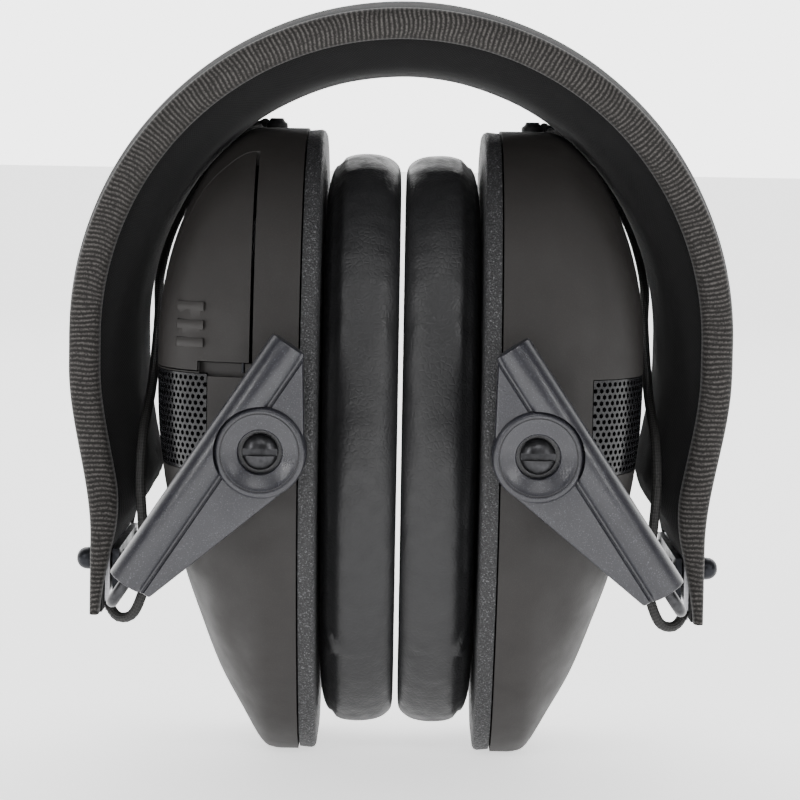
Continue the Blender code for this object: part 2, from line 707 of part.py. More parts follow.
def smooth_route(points, step):
    """Points about a step apart on a smooth curve through the given ones."""
    route = [Vector(p) for p in points]
    padded = [2 * route[0] - route[1]] + route + [2 * route[-1] - route[-2]]
    fine = []
    for before, start, end, after in zip(padded, padded[1:], padded[2:], padded[3:]):
        for i in range(20):
            t = i / 20
            bend = 2 * before - 5 * start + 4 * end - after
            twist = 3 * start - before - 3 * end + after
            fine.append(start + 0.5 * t * ((end - before) + t * (bend + t * twist)))
    fine.append(route[-1])
    lengths = [0.0]
    for a, b in zip(fine, fine[1:]):
        lengths.append(lengths[-1] + (b - a).length)
    count = round(lengths[-1] / step)
    chosen = []
    at = 0
    for i in range(count + 1):
        wanted = lengths[-1] * i / count
        while at < len(fine) - 2 and lengths[at + 1] < wanted:
            at += 1
        share = (wanted - lengths[at]) / (lengths[at + 1] - lengths[at])
        chosen.append(fine[at].lerp(fine[at + 1], share))
    return chosen


def make_link_cables():
    for side_name, side in SIDES.items():
        points = [(-side * x, y, z) for x, y, z in smooth_route(CABLE_ROUTE, CABLE_STEP)]
        wire(f"link_cable_{side_name}", points, CABLE_RADIUS, "cable", rings=2)


def main():
    global PARTS, CUTTERS
    clear_scene()
    PARTS = new_collection("earmuff_hearing_protector")
    CUTTERS = new_collection("cutters")
    CUTTERS.hide_render = True
    make_materials()
    make_headband()
    make_link_cables()
    for side_name, side in SIDES.items():
        make_wire_yoke(side_name, side)
        shell = make_cup(side_name, side)
        for end_name, end in ENDS.items():
            make_slider_block(side_name, side, end_name, end)
            make_pivot_screw(side_name, side, end_name, end)
        if side_name == "left":
            make_battery_bay(shell)
        else:
            make_controls(shell)


main()
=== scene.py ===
import json
import math
from functools import partial

import bmesh
import bpy
from mathutils import Matrix, Vector, noise


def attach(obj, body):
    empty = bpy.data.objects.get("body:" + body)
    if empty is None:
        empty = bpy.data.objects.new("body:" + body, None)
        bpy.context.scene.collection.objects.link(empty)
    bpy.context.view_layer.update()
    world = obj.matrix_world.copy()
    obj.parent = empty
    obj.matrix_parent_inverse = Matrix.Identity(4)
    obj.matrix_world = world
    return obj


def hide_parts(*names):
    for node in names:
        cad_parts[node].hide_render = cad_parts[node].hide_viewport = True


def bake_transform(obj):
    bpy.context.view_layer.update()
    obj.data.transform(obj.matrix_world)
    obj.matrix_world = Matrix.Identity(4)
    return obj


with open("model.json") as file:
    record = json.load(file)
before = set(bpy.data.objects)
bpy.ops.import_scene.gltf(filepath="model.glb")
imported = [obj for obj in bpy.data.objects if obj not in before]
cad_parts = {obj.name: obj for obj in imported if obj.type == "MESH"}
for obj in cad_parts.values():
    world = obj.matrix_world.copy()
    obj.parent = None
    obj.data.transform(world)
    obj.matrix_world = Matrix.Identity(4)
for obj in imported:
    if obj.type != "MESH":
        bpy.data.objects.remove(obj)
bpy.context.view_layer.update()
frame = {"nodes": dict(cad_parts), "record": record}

MM = 0.001
SIDES = {"left": -1, "right": 1}
ENDS = {"front": -1, "rear": 1}

# Dimensions in millimetres. The large ones repeat the CAD's.
CROWN_Z = 75.0
CROWN_RADIUS = 57.9
LEG_END_Z = 26.3
LEG_LENGTH = CROWN_Z - LEG_END_Z
LEG_LEAN = 4.0
LEG_LEAN_TOP_Z = 70.0
LEG_LEAN_HEIGHT = 30.0
BAND_LENGTH = 2 * LEG_LENGTH + math.pi * CROWN_RADIUS
FABRIC_HALF_WIDTH = 22.0
COVER_OUTER_DEPTH = 0.3
COVER_INNER_DEPTH = 2.0
COVER_BULGE = 2.3
PAD_DEPTH = 3.4
PAD_THICKNESS = 7.8
PAD_END_THICKNESS = 0.6
PAD_END_Z = 38.0
TAPE_INNER_Y = 22.3
TAPE_OUTER_Y = 25.5
TAPE_THICKNESS = 5.4
TAPE_END_THICKNESS = 1.6
RIB_PITCH = 0.85
RIVET_Y = 15.0
RIVET_Z = 34.9
HINGE_X = 47.9
HINGE_Z = 31.8
ARM_Y = 48.0
TUBE_TILT = math.radians(33.6)
TUBE_START = 4.6
TUBE_END = 53.1
TUBE_RADIUS = 3.2
WIRE_RADIUS = 1.0
WIRE_BEND = 4.0
WIRE_IN_TUBE = 46.0
WIRE_BORE_RADIUS = 1.3
BOSS_ALONG = 35.5
BOSS_OFFSET = 6.15
BOSS_INNER_Y = 44.3
BOSS_CLEARING_RADIUS = 7.7
WEB_Y = (44.7, 49.4)
SEAM_RADIUS = 0.55
SCREW_HOLE_RADIUS = 2.15
SCREW_SLOT_HALF = 0.6
STUB_INNER_Y = 39.6
STUB_HOLE_Y = 41.1
CUP_STATIONS = (
    (17.3, -1.2, 112.0, 41.0),
    (21.4, -1.0, 112.0, 41.0),
    (24.0, 0.5, 112.0, 40.8),
    (27.5, 6.5, 111.6, 40.0),
    (31.5, 14.0, 108.7, 38.7),
    (34.9, 23.0, 104.8, 37.0),
    (38.1, 32.5, 98.8, 34.0),
    (40.7, 43.5, 91.9, 29.5),
    (42.3, 53.5, 84.9, 23.0),
    (43.1, 62.0, 78.0, 12.0),
)
CUP_SEGMENTS = 112
CUP_WALL = 2.2
CUP_SQUARENESS = 2.6
CUP_TAPER = 0.25
TRIM_OPENING = (24.0, 88.0, 22.0)
CUSHION_OUTLINE = (4.0, 107.5, 37.0)
CUSHION_OPENING = (27.0, 85.0, 20.0)
CUSHION_BACK_X = 13.7
CUSHION_FACE_X = 0.3
FOAM_OUTLINE = (0.0, 112.0, 41.0)
GRILLE_X = 32.8
GRILLE_Y = -22.0
GRILLE_Z = (53.5, 70.0)
GRILLE_MIDDLE = (37.0, -25.2, 61.8)
HOLE_RADIUS = 0.44
HOLE_PITCH = 1.22
HOLE_ROW_HEIGHT = 1.06
DOOR_X = -25.5
DOOR_Y = -21.5
DOOR_Z = 72.0
DOOR_DROP_X = -34.4
DOOR_DROP_Z = 70.4
DOOR_GAP = 0.12
DOOR_SWING_ROOM = 0.33
DOOR_PIN = (-26.6, -38.6)
DOOR_PIN_Z = (70.3, 76.5)
THUMB_RIB_X = (-38.3, -33.6)
THUMB_RIB_Z = (81.3, 78.2, 75.2)
GLAND = (23.5, 8.0)
KNOB = (27.0, 27.3, 32.0)
KNOB_RADIUS = 9.0
KNOB_TEETH = 40
JACK_X = 29.5
JACK_Z = 46.0

# The link cable's own points, in metres, on the left side.
CABLE_RADIUS = 0.9
CABLE_ROUTE = (
    (-0.0508, -0.0203, 0.0280),
    (-0.0504, -0.0206, 0.0267),
    (-0.0489, -0.0216, 0.0254),
    (-0.0466, -0.0228, 0.0260),
    (-0.0450, -0.0236, 0.0290),
    (-0.0442, -0.0234, 0.0330),
    (-0.0448, -0.0218, 0.0410),
    (-0.0454, -0.0212, 0.0500),
    (-0.0452, -0.0180, 0.0580),
    (-0.0447, -0.0090, 0.0645),
    (-0.0449, 0.0020, 0.0705),
    (-0.0452, 0.0120, 0.0770),
    (-0.0456, 0.0185, 0.0840),
    (-0.0434, 0.0216, 0.0930),
    (-0.0386, 0.0218, 0.1020),
    (-0.0326, 0.0196, 0.1086),
    (-0.0284, 0.0162, 0.1116),
    (-0.0257, 0.0113, 0.1129),
)

MATERIALS = {}


# -------- small helpers


def smoothstep(t):
    t = min(max(t, 0.0), 1.0)
    return t * t * (3.0 - 2.0 * t)


def mix(a, b, t):
    return a + (b - a) * t


def turns(count):
    return [2 * math.pi * i / count for i in range(count)]


def signed_power(value, power):
    return math.copysign(abs(value) ** power, value)


def smooth_route(points, step):
    """Points about a step apart on a smooth curve through the given ones."""
    route = [Vector(p) for p in points]
    padded = [2 * route[0] - route[1]] + route + [2 * route[-1] - route[-2]]
    fine = []
    for before, start, end, after in zip(padded, padded[1:], padded[2:], padded[3:]):
        for i in range(20):
            t = i / 20
            bend = 2 * before - 5 * start + 4 * end - after
            twist = 3 * start - before - 3 * end + after
            fine.append(start + 0.5 * t * ((end - before) + t * (bend + t * twist)))
    fine.append(route[-1])
    lengths = [0.0]
    for a, b in zip(fine, fine[1:]):
        lengths.append(lengths[-1] + (b - a).length)
    count = max(2, round(lengths[-1] / step))
    chosen = []
    at = 0
    for i in range(count + 1):
        wanted = lengths[-1] * i / count
        while at < len(fine) - 2 and lengths[at + 1] < wanted:
            at += 1
        share = (wanted - lengths[at]) / (lengths[at + 1] - lengths[at])
        chosen.append(fine[at].lerp(fine[at + 1], share))
    return chosen


# -------- making meshes


def add_object(name, data):
    obj = bpy.data.objects.new(name, data)
    bpy.context.scene.collection.objects.link(obj)
    return obj


def shade(mesh, angle):
    """Smooth faces, with edges sharper than the angle kept sharp."""
    mesh.shade_smooth()
    mesh.set_sharp_from_angle(angle=math.radians(angle))


def finish_mesh(name, shape, angle=35.0, material=None):
    bmesh.ops.recalc_face_normals(shape, faces=shape.faces[:])
    if shape.calc_volume(signed=True) < 0:
        bmesh.ops.reverse_faces(shape, faces=shape.faces[:])
    mesh = bpy.data.meshes.new(name)
    shape.to_mesh(mesh)
    shape.free()
    shade(mesh, angle)
    obj = add_object(name, mesh)
    if material:
        mesh.materials.append(MATERIALS[material])
    return obj


def skin(shape, rows, closed_ends=(True, True), looped=False):
    """Joins rows of vertices, each a closed loop, with faces."""
    pairs = list(zip(rows, rows[1:]))
    if looped:
        pairs.append((rows[-1], rows[0]))
    for low, high in pairs:
        for i in range(len(low)):
            j = (i + 1) % len(low)
            shape.faces.new((low[i], low[j], high[j], high[i]))
    for end, closed in zip((rows[0], rows[-1]), closed_ends):
        if closed and not looped:
            shape.faces.new(end)


def add_rings(shape, rings, closed_ends=(True, True), looped=False):
    """Skins rings of millimetre points, each a closed loop."""
    rows = [[shape.verts.new(Vector(point) * MM) for point in ring] for ring in rings]
    skin(shape, rows, closed_ends, looped)


def loft(name, rings, material=None, closed_ends=(True, True), looped=False, angle=35.0):
    shape = bmesh.new()
    add_rings(shape, rings, closed_ends, looped)
    return finish_mesh(name, shape, angle, material)


def turn_to(axis):
    return Vector((0, 0, 1)).rotation_difference(Vector(axis)).to_matrix().to_4x4()


def lathe(name, profile, foot, axis, material, steps, angle=30.0):
    """A closed profile of (radius, height) turned about an axis. A radius of 0 closes on the axis."""
    frame_of = Matrix.Translation(Vector(foot)) @ turn_to(axis)
    shape = bmesh.new()
    rows = []
    for radius, height in profile:
        if radius == 0:
            rows.append([shape.verts.new((frame_of @ Vector((0, 0, height))) * MM)])
            continue
        ring = []
        for turn in turns(steps):
            spot = frame_of @ Vector((radius * math.cos(turn), radius * math.sin(turn), height))
            ring.append(shape.verts.new(spot * MM))
        rows.append(ring)
    pairs = list(zip(rows, rows[1:]))
    if profile[0][0] > 0:
        pairs.append((rows[-1], rows[0]))
    for low, high in pairs:
        for i in range(steps):
            j = (i + 1) % steps
            corners = [low[i % len(low)], low[j % len(low)], high[j % len(high)], high[i % len(high)]]
            kept = [v for k, v in enumerate(corners) if v not in corners[:k]]
            shape.faces.new(kept)
    return finish_mesh(name, shape, angle, material)


def box(name, low, high):
    shape = bmesh.new()
    bmesh.ops.create_cube(shape, size=1.0)
    size = [abs(b - a) * MM for a, b in zip(low, high)]
    middle = [(a + b) / 2 * MM for a, b in zip(low, high)]
    matrix = Matrix.LocRotScale(Vector(middle), None, Vector(size))
    bmesh.ops.transform(shape, matrix=matrix, verts=shape.verts)
    return finish_mesh(name, shape)


def rod(name, start, end, radius, material=None, steps=48):
    length = (Vector(end) - Vector(start)).length
    profile = [(0, 0.0), (radius, 0.0), (radius, length), (0, length)]
    return lathe(name, profile, start, (Vector(end) - Vector(start)).normalized(), material, steps)


def prism(name, outline, low_y, high_y, axis="Y"):
    """A flat outline thickened along Y, or along Z for an (X, Y) outline."""
    rings = []
    for level in (low_y, high_y):
        rings.append([(a, level, b) if axis == "Y" else (a, b, level) for a, b in outline])
    return loft(name, rings)


def combine(obj, other, operation):
    """Applies a Boolean, and deletes the other object."""
    modify(obj, "BOOLEAN", operation=operation, solver="EXACT", object=other)
    bpy.data.objects.remove(other, do_unlink=True)
    return obj


def cut(obj, other):
    return combine(obj, other, "DIFFERENCE")


def weld(obj, other):
    return combine(obj, other, "UNION")


def modify(obj, kind, **values):
    """Adds one modifier, sets it and applies it."""
    step = obj.modifiers.new(kind, kind)
    for key, value in values.items():
        setattr(step, key, value)
    apply_modifiers(obj)


def apply_modifiers(obj):
    bpy.context.view_layer.update()
    evaluated = obj.evaluated_get(bpy.context.evaluated_depsgraph_get())
    fresh = bpy.data.meshes.new_from_object(evaluated)
    obj.modifiers.clear()
    old = obj.data
    obj.data = fresh
    bpy.data.meshes.remove(old)


def soften(obj, width):
    """Rounds the sharp edges slightly, as a mould does."""
    limit = math.radians(40)
    modify(obj, "BEVEL", width=width * MM, segments=2, limit_method="ANGLE", angle_limit=limit)
    shade(obj.data, 40)


def tube(name, points, radius, material, sides):
    """A round tube along points in metres, with its run and its turn stored for a braid."""
    shape = bmesh.new()
    run = shape.verts.layers.float.new("along")
    round_it = shape.verts.layers.float.new("around")
    heading = (points[1] - points[0]).normalized()
    across = heading.orthogonal().normalized()
    rows = []
    travelled = 0.0
    for i, point in enumerate(points):
        ahead = points[min(i + 1, len(points) - 1)] - points[max(i - 1, 0)]
        ahead.normalize()
        across = (across - ahead * across.dot(ahead)).normalized()
        upright = ahead.cross(across)
        if i:
            travelled += (point - points[i - 1]).length
        row = []
        for turn in turns(sides):
            offset = across * math.cos(turn) + upright * math.sin(turn)
            vertex = shape.verts.new(point + offset * radius * MM)
            vertex[run] = travelled / MM
            vertex[round_it] = abs(turn / math.pi - 1)
            row.append(vertex)
        rows.append(row)
    skin(shape, rows)
    return finish_mesh(name, shape, 50.0, material)


def place(obj, body, slot, *nodes):
    """Rides a piece on its body, and hides the CAD solids it stands for. The slot is not used."""
    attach(obj, body)
    if nodes:
        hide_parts(*nodes)
    return obj


# -------- materials


class Surface:
    """Builds one procedural material: colour layers, roughness and a chain of bumps."""

    def __init__(self, name, roughness, metallic=0.0, **uniform):
        self.material = bpy.data.materials.new(name)
        self.material.use_nodes = True
        self.tree = self.material.node_tree
        self.shader = self.tree.nodes["Principled BSDF"]
        self.shader.inputs["Roughness"].default_value = roughness
        self.shader.inputs["Metallic"].default_value = metallic
        for socket, value in uniform.items():
            self.shader.inputs[socket.replace("_", " ")].default_value = value
        self.place = self.node("ShaderNodeTexCoord").outputs["Object"]
        self.height = None
        MATERIALS[name] = self.material

    def node(self, kind, **values):
        made = self.tree.nodes.new(kind)
        for key, value in values.items():
            setattr(made, key, value)
        return made

    def link(self, output, socket):
        self.tree.links.new(output, socket)

    def noise(self, scale, detail=3.0, rough=0.55, stretch=None):
        made = self.node("ShaderNodeTexNoise")
        made.inputs["Scale"].default_value = scale
        made.inputs["Detail"].default_value = detail
        made.inputs["Roughness"].default_value = rough
        self.link(self.stretched(stretch) if stretch else self.place, made.inputs["Vector"])
        return made.outputs["Fac"]

    def patches(self, scale, detail=3.0, low=0.0, high=1.0, start=0.3, end=0.7):
        """A noise, with its part from start to end mapped onto the values from low to high."""
        return self.ramp(self.noise(scale, detail), low, high, start, end)

    def cells(self, scale, feature="F1"):
        made = self.node("ShaderNodeTexVoronoi", feature=feature)
        made.inputs["Scale"].default_value = scale
        self.link(self.place, made.inputs["Vector"])
        return made.outputs["Distance"]

    def stretched(self, stretch):
        made = self.node("ShaderNodeMapping")
        made.inputs["Scale"].default_value = stretch
        self.link(self.place, made.inputs["Vector"])
        return made.outputs["Vector"]

    def attribute(self, name):
        return self.node("ShaderNodeAttribute", attribute_name=name).outputs["Fac"]

    def ramp(self, factor, low, high, start=0.0, end=1.0):
        """Maps the part of a factor from start to end onto the values from low to high."""
        made = self.node("ShaderNodeMapRange")
        for socket, value in (("From Min", start), ("From Max", end), ("To Min", low), ("To Max", high)):
            made.inputs[socket].default_value = value
        self.link(factor, made.inputs["Value"])
        return made.outputs["Result"]

    def math(self, operation, first, second=None):
        made = self.node("ShaderNodeMath", operation=operation)
        for socket, value in zip(made.inputs, (first, second)):
            if value is None:
                continue
            if isinstance(value, (int, float)):
                socket.default_value = value
            else:
                self.link(value, socket)
        return made.outputs[0]

    def color(self, base, *layers):
        """base, then (factor, colour) layers mixed over it."""
        current = None
        for factor, tint in layers:
            made = self.node("ShaderNodeMix", data_type="RGBA")
            if current is None:
                made.inputs[6].default_value = (*base, 1.0)
            else:
                self.link(current, made.inputs[6])
            made.inputs[7].default_value = (*tint, 1.0)
            self.link(factor, made.inputs[0])
            current = made.outputs[2]
        self.link(current, self.shader.inputs["Base Color"])

    def rough(self, factor):
        self.link(factor, self.shader.inputs["Roughness"])

    def bump(self, factor, depth, strength):
        """depth is in millimetres."""
        made = self.node("ShaderNodeBump")
        made.inputs["Strength"].default_value = strength
        made.inputs["Distance"].default_value = depth * MM
        self.link(factor, made.inputs["Height"])
        if self.height is not None:
            self.link(self.height, made.inputs["Normal"])
        self.height = made.outputs["Normal"]
        self.link(self.height, self.shader.inputs["Normal"])


def make_plastics():
    shell = Surface("shell", 0.55, Specular_IOR_Level=0.4)
    cloud = shell.patches(38.0, 4.0)
    speck = shell.patches(5200.0, 2.0, 0.0, 0.5, 0.5, 0.75)
    shell.color((0.0145, 0.0128, 0.0120), (cloud, (0.019, 0.0168, 0.0158)), (speck, (0.030, 0.028, 0.026)))
    shell.rough(shell.patches(160.0, 3.0, 0.52, 0.66))
    shell.bump(shell.noise(4200.0, 2.0), 0.035, 0.55)
    shell.bump(shell.noise(14.0, 2.0), 0.25, 0.25)

    trim = Surface("trim", 0.6, Specular_IOR_Level=0.55)
    grains = trim.cells(2600.0)
    bright = trim.patches(3400.0, 2.0, 0.0, 0.85, 0.56, 0.72)
    trim.color((0.011, 0.011, 0.012), (bright, (0.140, 0.140, 0.148)))
    trim.rough(trim.ramp(grains, 0.38, 0.72, 0.1, 0.7))
    trim.bump(grains, 0.12, 0.9)
    trim.bump(trim.noise(900.0, 3.0), 0.06, 0.5)

    nylon = Surface("nylon", 0.34, Specular_IOR_Level=0.65)
    tone = nylon.patches(90.0, 4.0)
    spark = nylon.patches(4600.0, 1.0, 0.0, 0.8, 0.60, 0.74)
    nylon.color((0.014, 0.014, 0.019), (tone, (0.019, 0.019, 0.025)), (spark, (0.085, 0.087, 0.102)))
    nylon.rough(nylon.patches(240.0, 4.0, 0.26, 0.38))
    nylon.bump(nylon.noise(3600.0, 3.0), 0.05, 0.6)
    nylon.bump(nylon.noise(120.0, 3.0), 0.08, 0.25)

    mesh = Surface("mesh", 0.26, 0.25, Specular_IOR_Level=0.6)
    cloud = mesh.patches(700.0, 3.0, 0.0, 1.0, 0.4, 0.7)
    mesh.color((0.008, 0.008, 0.009), (cloud, (0.016, 0.016, 0.018)))
    mesh.bump(mesh.noise(1500.0, 3.0), 0.05, 0.5)

    knob = Surface("knob", 0.6)
    cloud = knob.patches(500.0, 3.0, 0.0, 1.0, 0.35, 0.7)
    knob.color((0.014, 0.014, 0.015), (cloud, (0.028, 0.028, 0.030)))
    knob.bump(knob.noise(2200.0, 3.0), 0.05, 0.6)

    board = Surface("board", 0.35, Coat_Weight=0.4)
    tracks = board.ramp(board.cells(420.0, "DISTANCE_TO_EDGE"), 1.0, 0.0, 0.02, 0.06)
    board.color((0.012, 0.085, 0.035), (tracks, (0.035, 0.150, 0.070)))
    board.bump(tracks, 0.05, 0.6)


def make_metals():
    wire = Surface("wire", 0.34, 0.85)
    streak = wire.noise(900.0, 3.0)
    wire.color((0.030, 0.030, 0.032), (wire.ramp(streak, 0.0, 1.0, 0.35, 0.7), (0.060, 0.060, 0.064)))
    wire.rough(wire.patches(500.0, 3.0, 0.28, 0.46))
    wire.bump(wire.noise(1600.0, 3.0), 0.03, 0.5)

    steel = Surface("steel", 0.32, 1.0)
    brushed = steel.noise(300.0, 3.0, stretch=(1.0, 14.0, 14.0))
    steel.color((0.42, 0.42, 0.44), (steel.ramp(brushed, 0.0, 1.0, 0.3, 0.7), (0.55, 0.55, 0.57)))
    steel.rough(steel.ramp(brushed, 0.26, 0.42, 0.3, 0.7))

    clip = Surface("clip", 0.38, 0.75)
    worn = clip.patches(420.0, 4.0, 0.0, 1.0, 0.55, 0.75)
    clip.color((0.018, 0.019, 0.023), (worn, (0.060, 0.062, 0.070)))
    clip.rough(clip.patches(700.0, 3.0, 0.30, 0.50))
    clip.bump(clip.noise(1400.0, 3.0), 0.03, 0.5)

    battery = Surface("battery", 0.3, 0.5, Coat_Weight=0.5)
    patches = battery.patches(60.0, 3.0, 0.0, 1.0, 0.45, 0.55)
    battery.color((0.05, 0.05, 0.055), (patches, (0.30, 0.30, 0.32)))
    battery.bump(battery.noise(900.0), 0.02, 0.3)


def make_soft_goods():
    leather = Surface("leatherette", 0.45, Specular_IOR_Level=0.45)
    pores = leather.cells(1050.0, "DISTANCE_TO_EDGE")
    creases = leather.ramp(pores, 0.0, 1.0, 0.0, 0.22)
    cloud = leather.patches(55.0, 4.0)
    dusty = leather.ramp(leather.noise(30.0, 5.0, 0.7), 0.0, 0.55, 0.55, 0.8)
    leather.color((0.013, 0.013, 0.014), (cloud, (0.018, 0.018, 0.019)), (dusty, (0.030, 0.029, 0.030)))
    leather.rough(leather.patches(420.0, 4.0, 0.38, 0.56))
    leather.bump(creases, 0.05, 0.55)
    leather.bump(leather.noise(190.0, 4.0), 0.16, 0.35)

    fabric = Surface("fabric", 0.92, Sheen_Weight=0.06, Sheen_Roughness=0.5, Specular_IOR_Level=0.15)
    along = fabric.attribute("along")
    across = fabric.attribute("across")
    weft = fabric.math("SINE", fabric.math("MULTIPLY", along, 2 * math.pi / 0.62))
    warp = fabric.math("SINE", fabric.math("MULTIPLY", across, 2 * math.pi / 0.55))
    weave = fabric.ramp(fabric.math("MULTIPLY", weft, warp), 0.0, 1.0, -1.0, 1.0)
    cloud = fabric.patches(70.0, 4.0)
    raised = fabric.ramp(weave, 0.0, 0.5)
    fabric.color((0.006, 0.006, 0.006), (cloud, (0.009, 0.009, 0.009)), (raised, (0.017, 0.017, 0.018)))
    fabric.bump(weave, 0.07, 0.7)
    fabric.bump(fabric.noise(2600.0, 2.0), 0.05, 0.6)

    tape = Surface("tape", 0.8, Sheen_Weight=0.15, Sheen_Roughness=0.4, Specular_IOR_Level=0.3)
    # Painted highlight: the colour is lighter on each rib's crest, flecked by fine strands, as if the crests
    # catch the light.
    crest = tape.attribute("rib")
    strands = tape.noise(3000.0, 2.0)
    lit_strands = tape.ramp(strands, 0.3, 1.4, 0.3, 0.7)
    light = tape.ramp(tape.math("MULTIPLY", crest, lit_strands), 0.0, 1.0, 0.25, 1.0)
    cloud = tape.patches(60.0)
    tape.color((0.012, 0.011, 0.010), (cloud, (0.014, 0.013, 0.012)), (light, (0.085, 0.079, 0.075)))
    tape.bump(strands, 0.06, 0.8)

    cable = Surface("cable", 0.6, Specular_IOR_Level=0.35)
    run = cable.math("MULTIPLY", cable.attribute("along"), 2 * math.pi / 1.1)
    turn = cable.math("MULTIPLY", cable.attribute("around"), 2 * math.pi * 3)
    left = cable.math("SINE", cable.math("ADD", run, turn))
    right = cable.math("SINE", cable.math("SUBTRACT", run, turn))
    braid = cable.ramp(cable.math("MULTIPLY", left, right), 0.0, 1.0, -1.0, 1.0)
    cable.color((0.008, 0.008, 0.008), (cable.ramp(braid, 0.0, 1.0), (0.028, 0.027, 0.026)))
    cable.bump(braid, 0.12, 0.8)

    foam = Surface("foam", 0.98, Specular_IOR_Level=0.1)
    bubbles = foam.cells(900.0, "DISTANCE_TO_EDGE")
    foam.color((0.010, 0.010, 0.011), (foam.ramp(bubbles, 1.0, 0.0, 0.0, 0.12), (0.042, 0.042, 0.045)))
    foam.bump(bubbles, 0.5, 0.9)


# -------- camera, light and floor


CAMERA_LENS = 130.5
CAMERA_DISTANCE = 0.530
CAMERA_TARGET = Vector((0.0, 0.0, 0.0628))
CAMERA_TILT = math.radians(5.0)
CAMERA_ROLL = math.radians(1.0)
LIGHT_TARGET = Vector((0.0, 0.0, 0.07))


def make_camera():
    tilt, roll = CAMERA_TILT, CAMERA_ROLL
    look = Vector((0.0, math.cos(tilt), -math.sin(tilt)))
    level_up = Vector((0.0, math.sin(tilt), math.cos(tilt)))
    level_right = Vector((1.0, 0.0, 0.0))
    right = math.cos(roll) * level_right + math.sin(roll) * level_up
    up = math.cos(roll) * level_up - math.sin(roll) * level_right
    data = bpy.data.cameras.new("camera")
    data.lens = CAMERA_LENS
    data.sensor_width = 36.0
    camera = add_object("camera", data)
    turned = Matrix((right, up, -look)).transposed().to_4x4()
    camera.matrix_world = Matrix.Translation(CAMERA_TARGET - look * CAMERA_DISTANCE) @ turned
    bpy.context.scene.camera = camera


def add_area_light(name, spot, size, power):
    data = bpy.data.lights.new(name, "AREA")
    data.shape = "RECTANGLE"
    data.size, data.size_y = size
    data.energy = power
    light = add_object(name, data)
    light.location = spot
    light.rotation_euler = (LIGHT_TARGET - Vector(spot)).to_track_quat("-Z", "Y").to_euler()


def make_studio():
    add_area_light("key", (0.0, -0.70, 0.60), (0.36, 0.10), 1.6)
    add_area_light("left_strip", (-0.59, -0.68, 0.37), (0.08, 0.40), 2.2)
    add_area_light("right_strip", (0.59, -0.68, 0.37), (0.08, 0.40), 2.2)
    add_area_light("back_glow", (0.0, 0.90, 0.70), (1.60, 0.60), 4.0)
    world = bpy.data.worlds.new("studio")
    world.use_nodes = True
    tree = world.node_tree
    place_node = tree.nodes.new("ShaderNodeTexCoord")
    split = tree.nodes.new("ShaderNodeSeparateXYZ")
    fade = tree.nodes.new("ShaderNodeMapRange")
    for socket, value in (("From Min", -0.10), ("From Max", 0.75), ("To Min", 0.035), ("To Max", 4.2)):
        fade.inputs[socket].default_value = value
    fade.interpolation_type = "SMOOTHSTEP"
    tree.links.new(place_node.outputs["Generated"], split.inputs[0])
    tree.links.new(split.outputs["Y"], fade.inputs["Value"])
    tree.links.new(fade.outputs["Result"], tree.nodes["Background"].inputs["Strength"])
    tree.nodes["Background"].inputs["Color"].default_value = (1.0, 1.0, 1.0, 1.0)
    bpy.context.scene.world = world
    floor_look = Surface("floor", 0.7)
    floor_look.shader.inputs["Base Color"].default_value = (0.93, 0.93, 0.93, 1.0)
    floor_look.shader.inputs["Emission Color"].default_value = (1.0, 1.0, 1.0, 1.0)
    floor_look.shader.inputs["Emission Strength"].default_value = 1.2
    shape = bmesh.new()
    bmesh.ops.create_grid(shape, x_segments=1, y_segments=1, size=12.0)
    mesh = bpy.data.meshes.new("floor")
    shape.to_mesh(mesh)
    shape.free()
    mesh.materials.append(MATERIALS["floor"])
    floor = add_object("floor", mesh)
    floor.location.z = -0.0002


# -------- link cables


CABLE_SHARES = (0.0, 0.25, 0.50, 1.0)


def make_link_cables():
    """Each cable is three lengths, because it crosses three joints between the band and the cup."""
    for side_name, side in SIDES.items():
        route = [Vector((-side * x, y, z)) for x, y, z in smooth_route(CABLE_ROUTE, 0.0009)]
        last = len(route) - 1
        for number, (low, high) in enumerate(zip(CABLE_SHARES, CABLE_SHARES[1:])):
            points = route[round(low * last):round(high * last) + 1]
            name = f"link_cable_{side_name}_{number + 1}"
            piece = tube(name, points, CABLE_RADIUS, "cable", sides=14)
            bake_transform(piece)
            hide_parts(f"link_cable_{side_name}")


# -------- headband


def leg_outer_x(z):
    return CROWN_RADIUS - LEG_LEAN * smoothstep((LEG_LEAN_TOP_Z - z) / LEG_LEAN_HEIGHT)


def band_point(run, depth, y):
    """A point of the band: run millimetres from the left end, depth below the outer face."""
    if run < LEG_LENGTH:
        z = LEG_END_Z + run
        return Vector((depth - leg_outer_x(z), y, z))
    if run > BAND_LENGTH - LEG_LENGTH:
        z = LEG_END_Z + BAND_LENGTH - run
        return Vector((leg_outer_x(z) - depth, y, z))
    turn = math.pi - (run - LEG_LENGTH) / CROWN_RADIUS
    reach = CROWN_RADIUS - depth
    return Vector((reach * math.cos(turn), y, CROWN_Z + reach * math.sin(turn)))


def band_height(run):
    return LEG_END_Z + min(run, BAND_LENGTH - run, LEG_LENGTH)


def band_sweep(name, runs, section, material):
    """Skins sections of (y, depth, rib) along the band, and stores the run, the width and the rib."""
    shape = bmesh.new()
    names = ("along", "across", "rib")
    layers = [shape.verts.layers.float.new(n) for n in names]
    rows = []
    for run in runs:
        row = []
        width = 0.0
        before = None
        for y, depth, rib in section(run):
            spot = band_point(run, depth, y)
            width += (spot - before).length if before else 0.0
            before = spot
            vertex = shape.verts.new(spot * MM)
            for layer, value in zip(layers, (run, width, rib)):
                vertex[layer] = value
            row.append(vertex)
        rows.append(row)
    skin(shape, rows)
    return finish_mesh(name, shape, 50.0, material)


def spread(count, low, high):
    return [mix(low, high, i / (count - 1)) for i in range(count)]


